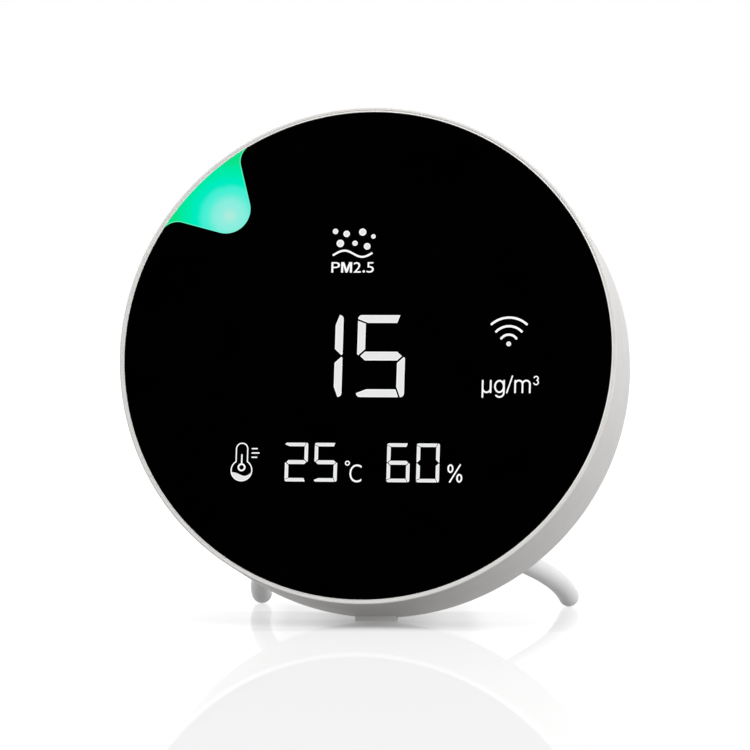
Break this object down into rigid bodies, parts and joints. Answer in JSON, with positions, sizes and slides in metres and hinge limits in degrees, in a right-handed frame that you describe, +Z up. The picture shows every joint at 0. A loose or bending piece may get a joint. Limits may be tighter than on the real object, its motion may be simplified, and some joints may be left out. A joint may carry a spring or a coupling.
{
  "type": "air quality monitor",
  "caption": "Round tilted desk air quality monitor with a black display face, a corner light window, rear vents and a folding wire stand.",
  "frame": {"origin": "on the floor under the middle of the drum, on the base pad's resting face", "axes": "+Z up, the display faces -Y, +X is to the right when facing the display"},
  "size_m": [0.11, 0.0807, 0.1134],
  "materials": {
    "shell": "fine satin, warm light grey",
    "lens": "deep black, polished",
    "guide": "translucent, lit green",
    "tape": "thin foam tape",
    "reflector": "white",
    "lamps": "white lamp chips",
    "glow": "colour lamp chips",
    "board": "green solder mask",
    "cell": "wrapped cell",
    "metal": "plated sheet",
    "chips": "moulded black",
    "connectors": "natural",
    "cable": "amber film",
    "button": "satin",
    "sensor": "black",
    "fan": "black",
    "motor": "wound core",
    "foam": "soft foam",
    "screen": "fine mesh",
    "climate": "small board",
    "pad": "soft grey",
    "hinge": "satin",
    "screws": "plated",
    "stand": "satin light grey"
  },
  "bodies": {
    "housing": {"rear_shell": "shell", "front_frame": "shell", "front_lens": "lens", "lens_tape": "tape", "light_guide": "guide", "display_reflector": "reflector", "segment_leds": "lamps", "glow_leds": "glow", "display_board": "board", "battery_pad": "tape", "battery_cell": "cell", "main_board": "board", "wireless_module": "metal", "control_chips": "chips", "board_connectors": "connectors", "usb_socket": "metal", "display_cable": "cable", "sensor_cable": "cable", "battery_lead": "cable", "button_switch": "chips", "sensor_case": "sensor", "sensor_lid": "sensor", "sensor_board": "board", "photodiode": "chips", "laser_diode": "metal", "fan_stator": "motor", "sensor_gasket": "foam", "dust_screen": "screen", "climate_sensor": "climate", "base_pad": "pad", "hinge_saddle": "hinge", "hinge_cap": "hinge", "case_screws": "screws", "inner_screws": "screws", "hinge_screws": "screws"},
    "stand": {"stand_rod": "stand"},
    "fan": {"fan_rotor": "fan"},
    "button": {"power_button": "button", "switch_plunger": "button"}
  },
  "joints": [
    {"name": "stand_fold", "type": "hinge", "parent": "housing", "child": "stand", "pos_m": [0, 0.01315, 0.02182], "axis": [1, 0, 0], "range_deg": [0, 103]},
    {"name": "fan_spin", "type": "hinge", "parent": "housing", "child": "fan", "pos_m": [-0.009, 0.0083, 0.07674], "axis": [0, 0.9842, -0.1771], "continuous": true},
    {"name": "button_press", "type": "slide", "parent": "housing", "child": "button", "axis": [0, -0.9842, 0.1771], "range_m": [0, 0.0004]}
  ]
}
